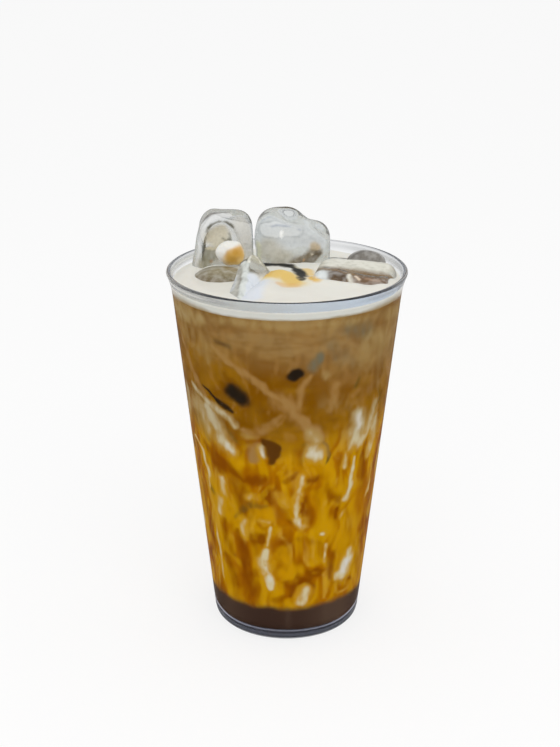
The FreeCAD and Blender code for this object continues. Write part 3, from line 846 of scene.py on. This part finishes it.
def ice_blank(node):
    """The block that a cube is melted from: the node's solid, reshaped where the photo asks."""
    name = f"{node}_blank"
    if node == "ice_peaked":
        return in_scene(name, hull_mesh(name, PEAKED_CORNERS))
    if node in ROUNDED:
        return in_scene(name, ellipsoid_mesh(name, *ROUNDED[node]))
    blank = in_scene(name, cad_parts[node].data.copy())
    if node == "ice_hollow_cube":
        thimble = in_scene("thimble", ellipsoid_mesh("thimble", *THIMBLE))
        cut_away(blank, thimble)
        bpy.data.objects.remove(thimble)
    return blank


def ice_mesh(node, voxel, rounds, ripple, seed):
    """A cube remeshed, melted smooth and gently uneven."""
    blank = ice_blank(node)
    add_remesh(blank, voxel)
    melt = blank.modifiers.new("melt", "SMOOTH")
    melt.factor = 0.5
    melt.iterations = rounds
    mesh = apply_modifiers(blank)
    bpy.data.objects.remove(blank)
    mesh.name = f"{node}_melted"
    points = points_of(mesh)
    for centre, reach, push in NUDGES.get(node, ()):
        near = bell(np.linalg.norm(points / MM - np.array(centre), axis=1), reach)
        points = points + near[:, None] * np.array(push) * MM
    set_points(mesh, points)
    push_out(mesh, points, lumps(points, seed, (9 * MM, ripple), (3.6 * MM, ripple * 0.3)))
    mesh.shade_smooth()
    return mesh


def joined_cutter(meshes, shrink):
    """All the ice as one closed form, drawn in a little so that the drink it cuts grips the ice."""
    shape = bmesh.new()
    for mesh in meshes:
        copy = mesh.copy()
        push_out(copy, points_of(copy), -shrink)
        shape.from_mesh(copy)
        bpy.data.meshes.remove(copy)
    cutter = in_scene("ice_cutter", mesh_of(shape, "ice_cutter"))
    add_remesh(cutter, 0.5 * MM)
    apply_modifiers(cutter)
    return cutter


def edge_tone(n, facing, edge, start):
    """A clear colour that turns into another where the eye grazes the surface."""
    return n.mix(n.ramp(n.grazing(), start, 0.99), facing, edge)


def clear_body(n, ior, tone, gloss, roughness=0.0, normal=None, shine=None):
    """Glass or ice that tints what is seen through it, with its gloss held down."""
    surface = {"Roughness": roughness, "Normal": normal}
    inside = n.add("BsdfRefraction", {"Color": tone, "IOR": ior, **surface})
    sheen = n.add("BsdfAnisotropic", surface)
    mirror = n.add("Fresnel", {"IOR": ior, "Normal": normal})
    held = n.ramp(n.grazing(), 0.4, 1, gloss * 0.4, gloss)
    if shine:
        held = n.maths("MAXIMUM", held, shine)
    return n.mix_shaders(n.maths("MULTIPLY", mirror.outputs[0], held), inside.outputs[0], sheen.outputs[0])


def ice_material():
    """Clear wet ice, a little cloudy, with the films that lie on it and the painted highlights and painted
    dark contours brushed on with them.
    """
    n = material_nodes("wet_ice")
    ripple = n.bump(n.noise(260, 2), 0.1, 0.0006)
    # Darker where the eye grazes the ice: painted shade for its dark edges.
    tone = edge_tone(n, (0.835, 0.845, 0.845, 1), (0.38, 0.39, 0.4, 1), 0.58)
    body = clear_body(n, 1.31, tone, 0.9, 0.03, ripple)
    film = n.add("Attribute", attribute_name="film")
    fine = n.noise(420)
    white = n.coat(n.wash(film.outputs["Color"], "#f2f1ec", fine, 0.35, 0.75, 0.22), 0.3, 0.3)
    haze = n.ramp(n.noise(130, 3, 0.5), 0.45, 0.75, 0.05, 0.2)
    film_cover = n.maths("MULTIPLY", film.outputs["Alpha"], n.ramp(fine, 0.2, 0.6, 0.75, 1))
    cloud = n.maths("MINIMUM", n.maths("ADD", haze, film_cover), 1)
    return n.finish(n.let_lamps_through(n.mix_shaders(cloud, body, white), (0.9, 0.92, 0.92, 1)))


# -------- foam

# Heaps in the foam: (height, reach, (x, y), ...) in millimetres.
FOAM_HEAPS = [
    (2.5, 5.2, (-8.4, -25), (-5.4, -10), (-2.6, -6)),
    (0.9, 3, (12, -12), (24, -17)),
    (1.1, 3.5, (36, -16), (40, -9)),
]


def foam_mesh():
    """The foam layer: a soft top, heaped against the front cubes and lower at the glass."""
    edge = inner_radius(FOAM_LEVEL)
    profile = [(0, FOAM_BOTTOM)]
    profile += wall_line(inner_radius, FOAM_BOTTOM, FOAM_LEVEL - FOAM_CROWN, 0.25 * MM, GRIP)
    profile += [(edge * share, FOAM_LEVEL) for share in np.linspace(0.99, 0.02, 80)]
    profile.append((0, FOAM_LEVEL))
    mesh = lathe_mesh("milk_foam_top", profile, FOAM_COLUMNS)
    points = points_of(mesh)
    radius = np.hypot(points[:, 0], points[:, 1])
    on_top = points[:, 2] > FOAM_LEVEL - 0.01 * MM
    flat = points / MM * (1, 1, 0)
    lift = -FOAM_CROWN * rise(edge - 7.0 * MM, edge, radius)
    for height, reach, *path in FOAM_HEAPS:
        lift += height * MM * bell(distance_to_path(flat, [(x, y, 0) for x, y in path]), reach)
    uneven = lumps(points, 21, (14 * MM, 0.22 * MM), (5 * MM, 0.1 * MM))
    lift += uneven * (1 - rise(edge - 3 * MM, edge, radius))
    points[on_top, 2] += lift[on_top]
    set_points(mesh, points)
    smooth_mesh(mesh, 60)
    return mesh


def mark_foam(mesh):
    """The foam's side as it shows through the wall, darker by painted shade up to just under its top, and the
    coffee that seeps up into it.
    """
    points = points_of(mesh)
    level = points[:, 2] / MM
    low = FOAM_BOTTOM / MM
    rim = (FOAM_LEVEL - FOAM_CROWN) / MM
    wall = inner_line(FOAM_BOTTOM)
    at_wall = rise(-1, 0, np.hypot(points[:, 0], points[:, 1]) / MM - wall / MM)
    uneven = lumps(points, 81, (6 * MM, 0.35), (2 * MM, 0.2))
    reach = 1.1 + 2.4 * rise(0.55, 0.95, np.abs(points[:, 0]) / wall)
    # Painted shade on the foam's side at the wall, stopping just under its top so a lighter band stays there;
    # below it, coffee seeping up.
    add_values(mesh, side=at_wall * (1 - rise(rim - 0.75, rim - 0.25, level)),
               seep=at_wall * (1 - rise(low - 0.3, low + reach, level + uneven)))


def foam_material():
    """Pale, dense foam with fine bubbles."""
    n = material_nodes("milk_foam")
    film = n.add("Attribute", attribute_name="film")
    shade = n.wash("#dfddd4", "#d8d4ca", n.noise(45), 0.35, 0.7)
    shade = n.mix(film.outputs["Alpha"], shade, film.outputs["Color"])
    # Painted shade on the foam's side against the wall.
    shade = n.mix(n.value("side"), shade, "#cfcec6")
    shade = n.mix(n.value("seep"), shade, "#9a845c")
    bubbles = n.add("TexVoronoi", {"Vector": n.add("TexCoord").outputs["Object"], "Scale": 1500})
    depth = {"Subsurface Weight": 0.25, "Subsurface Radius": (0.003, 0.0025, 0.002), "Subsurface Scale": 1,
             "Normal": n.bump(bubbles.outputs["Distance"], 0.15, 0.0002)}
    return n.finish(n.coat(shade, 0.55, 0.3, depth))


def make_dollop(material):
    """The dab of foam with a caramel heart in the hollow cube's front."""
    mesh = ellipsoid_mesh("foam_dollop", *DOLLOP, segments=72)
    points = points_of(mesh)
    push_out(mesh, points, lumps(points, 61, (3.4 * MM, 0.45 * MM), (1.4 * MM, 0.15 * MM)))
    smooth_mesh(mesh, 60)
    paint_film(mesh, FILMS["foam_dollop"], 0.7, 63)
    new_piece("foam_dollop", mesh, material, "milk_foam")


# -------- tumbler

def tumbler_profile():
    """Closed section of the glass: under the base, up the outside, over the lip, down inside."""
    heel = 4.0 * MM
    recess_radius = 20.5 * MM
    recess_depth = 1.2 * MM
    profile = [(0, recess_depth)]
    profile += [(recess_radius - inwards * MM, recess_depth * share)
                for inwards, share in ((3, 1), (1.6, 0.92), (0.6, 0.35), (0, 0))]
    profile += arc(inner_line(0) + WALL - heel * 0.92, heel, heel, -90, -6, 10)
    upright = 8 * MM
    lip = LIP_WALL / 2
    lip_start = LIP_LEVEL - lip
    profile += wall_line(outer_radius, heel * 1.05, upright, 0.25 * MM)
    profile += wall_line(outer_radius, upright, FLARE_LEVEL, 4 * MM)[1:]
    profile += wall_line(outer_radius, FLARE_LEVEL, lip_start, 0.6 * MM)[1:]
    profile += arc(RIM_RADIUS - lip, lip_start, lip, 0, 180, 14)[1:-1]
    profile += wall_line(inner_radius, FLARE_LEVEL, lip_start, 0.6 * MM)[::-1]
    corner = FLOOR_LEVEL + FLOOR_ROUND
    profile += wall_line(inner_radius, corner, FLARE_LEVEL, 4 * MM)[-2::-1]
    profile += arc(inner_line(FLOOR_LEVEL) - FLOOR_ROUND, corner, FLOOR_ROUND, 0, -90, 8)[1:]
    profile.append((0, FLOOR_LEVEL))
    return profile


def mark_glass(mesh):
    """Where the glass is tinted, milky or shiny, and where light is painted on it: the lip band with its
    painted reflection, painted shade along the lip's top, and painted highlight lines over a band of painted
    shade at the base.
    """
    points = points_of(mesh) / MM
    level = points[:, 2]
    from_lip = level - LIP_LEVEL / MM
    azimuth = azimuth_of(points)
    side = np.sin(azimuth)                 # -1 at the left end, 1 at the right end
    front = (1 + np.cos(azimuth)) / 2      # 1 at the front, 0 at the back
    facing = rise(0.25, 0.8, front)
    ends = side ** 8
    top = rise(-0.6, -0.2, from_lip)
    radius = np.hypot(points[:, 0], points[:, 1])
    inner = 1 - rise(0.35, 0.75, (radius - radius[top > 0].min()) / np.ptp(radius[top > 0]))
    along_rim = (0.1 * front + 0.45 * (1 - front)) * (1 - ends)
    side_shine = rise(-9, -6, from_lip) * rise(0.84, 0.96, np.abs(side))
    front_shine = rise(-2.2, -1.2, from_lip) * rise(0.4, 0.75, front)
    # Painted highlight lines round the base, brighter and higher at both ends, over a band of painted shade
    # below them.
    base_line = 5.2 + 2.6 * side ** 6
    upper_line = bell(level, 0.5, base_line) * (1 + 1.5 * side ** 4)
    milky = np.maximum(rise(0.35, 0.8, -side) * 0.8, rise(0.45, 0.9, side) * 0.42)
    between = rise(-1.5, 0, level - FOAM_LEVEL / MM) * (1 - rise(-1.9, -0.7, from_lip))
    # Painted light on the glass: a painted reflection in the lip band, painted shade along the lip's top, and
    # painted highlight lines over a band of painted shade at the base.
    add_values(mesh, east=rise(-1, 0.6, side) * facing,
               lip=rise(-4.3, -3.7, from_lip) * np.maximum(facing, 0.28),
               crest=top * (along_rim + ends * (0.3 + 0.6 * inner)),
               shine=np.maximum(front_shine, 0.85 * side_shine),
               line=upper_line + 0.3 * bell(level, 0.4, base_line - 1.9),
               milky=(milky + 0.16 * (1 - front)) * between,
               foot=1 - rise(-1.4, -0.2, level - base_line))


def glass_material():
    """Clear glass with a tinted lip and a milky coat, with painted light: a painted reflection in the lip
    band, painted shade along the lip's top, and painted highlight lines over painted shade at the base.
    """
    n = material_nodes("clear_glass")
    # The lip band's tint: partly the glass's own tint, with a painted reflection that turns it grey on the
    # left and blue on the right, most at the front.
    tint = n.mix(n.value("east"), (0.81, 0.81, 0.8, 1), (0.81, 0.865, 0.955, 1))
    # Darker where the eye grazes the glass: painted shade for its dark edges.
    plain = edge_tone(n, (0.985, 0.99, 0.995, 1), (0.55, 0.55, 0.55, 1), 0.88)
    tone = n.mix(n.value("lip"), plain, tint, "MULTIPLY")
    body = clear_body(n, 1.5, tone, 0.12, shine=n.value("shine"))
    # Colours of painted light at the base: a dark slate band of painted shade under a pale painted highlight.
    shade = n.mix(n.value("line"), "#595d6b", "#c6c8dc")
    shade = n.mix(n.value("milky"), shade, "#eceae2")
    # Painted shade, dark slate, along the lip's top.
    shade = n.mix(n.value("crest"), shade, "#454d5c")
    cover = n.maths("MULTIPLY", n.value("line"), 0.36)
    for name, share in (("foot", 0.36), ("crest", 0.8), ("milky", 0.75)):
        cover = n.maths("MULTIPLY_ADD", n.value(name), share, cover)
    mixed = n.mix_shaders(cover, body, n.coat(shade, 0.35))
    return n.finish(n.let_lamps_through(mixed, (0.97, 0.98, 0.985, 1)))


# -------- assembly

def make_tumbler():
    mesh = lathe_mesh("tumbler_glass", tumbler_profile(), TUMBLER_COLUMNS)
    smooth_mesh(mesh, 50)
    mark_glass(mesh)
    new_piece("tumbler_glass", mesh, glass_material(), "clear_glass", "tumbler")


def make_ice():
    """All the cubes; gives their meshes."""
    wet_ice = ice_material()
    melted = []
    for number, (node, (voxel, rounds, ripple)) in enumerate(ICE_LOOKS.items()):
        mesh = ice_mesh(node, voxel * MM, rounds, ripple * MM, 30 + 2 * number)
        paint_film(mesh, FILMS[node], 0.5)
        new_piece(f"{node}_melted", mesh, wet_ice, "ice", node)
        melted.append(mesh)
    return melted


def build():
    make_tumbler()
    marbled = drink_material()
    layers = [
        make_layer("dark_syrup", FLOOR_LEVEL - GRIP, SYRUP_LEVEL, 0.6 * MM, marbled, FLOOR_ROUND),
        make_layer("caramel_milk", SYRUP_LEVEL, CARAMEL_LEVEL, 0.38 * MM, marbled),
        make_layer("coffee_milk", CARAMEL_LEVEL, FOAM_BOTTOM, 0.38 * MM, marbled),
    ]
    froth = foam_material()
    foam = new_piece("milk_foam_top", foam_mesh(), froth, "milk_foam", "milk_foam")
    cutter = joined_cutter(make_ice(), 0.15 * MM)
    cut_away(foam, cutter)
    cut_away(layers[-1], cutter)
    bpy.data.objects.remove(cutter)
    paint_film(foam.data, FILMS["milk_foam"], 0.7, 70)
    mark_foam(foam.data)
    make_dollop(froth)
    for layer in layers:
        paint_drink(layer.data)


# -------- floor, light and camera

SHOWS_BACKGROUND = ("Camera", "Glossy", "Transmission")


def make_floor():
    """A pale floor that looks almost white where it is seen."""
    size = 4.0
    mesh = bpy.data.meshes.new("floor")
    corners = [(x * size, y * size, 0) for x, y in ((-1, -1), (1, -1), (1, 1), (-1, 1))]
    mesh.from_pydata(corners, [], [(0, 1, 2, 3)])
    floor = in_scene("floor", mesh)
    n = material_nodes("pale_floor")
    matt = n.add("BsdfDiffuse", {"Color": (0.93, 0.93, 0.93, 1)})
    white = n.add("Emission", {"Strength": 1.0})
    share = n.maths("MULTIPLY", n.is_ray(*SHOWS_BACKGROUND), 0.72)
    mesh.materials.append(n.finish(n.mix_shaders(share, matt.outputs[0], white.outputs[0])))


def make_world():
    """White all round, a little dimmer for light than for looks."""
    n = Nodes(bpy.data.worlds.new("studio"), "OutputWorld")
    strength = n.add("Mix", {"Factor": n.is_ray(*SHOWS_BACKGROUND), "A": 0.85, "B": 1.0}, data_type="FLOAT")
    background = n.add("Background", {"Color": (1, 1, 1, 1), "Strength": strength.outputs["Result"]})
    bpy.context.scene.world = n.finish(background.outputs[0])


def area_lamp(name, place, aim, size, power):
    data = bpy.data.lights.new(name, "AREA")
    data.shape = "RECTANGLE"
    data.size, data.size_y = size
    data.energy = power
    lamp = in_scene(name, data)
    lamp.location = place
    lamp.rotation_euler = (Vector(aim) - Vector(place)).to_track_quat("-Z", "Y").to_euler()


def make_camera():
    data = bpy.data.cameras.new("camera")
    data.lens = 72.3
    data.sensor_width = 36.0
    data.clip_start = 0.01
    data.clip_end = 50
    camera = in_scene("camera", data)
    camera.location = (-2.6 * MM, -539.1 * MM, 296.5 * MM)
    camera.rotation_euler = (math.radians(90 - 19.98), 0, 0)
    bpy.context.scene.camera = camera


build()
make_floor()
make_world()
area_lamp("key", (0.08, -0.76, 0.9), (0, 0, 0.1), (1.2, 0.6), 3.8)
make_camera()
bpy.context.scene.view_settings.view_transform = "Standard"
bpy.context.scene.cycles.use_denoising = True
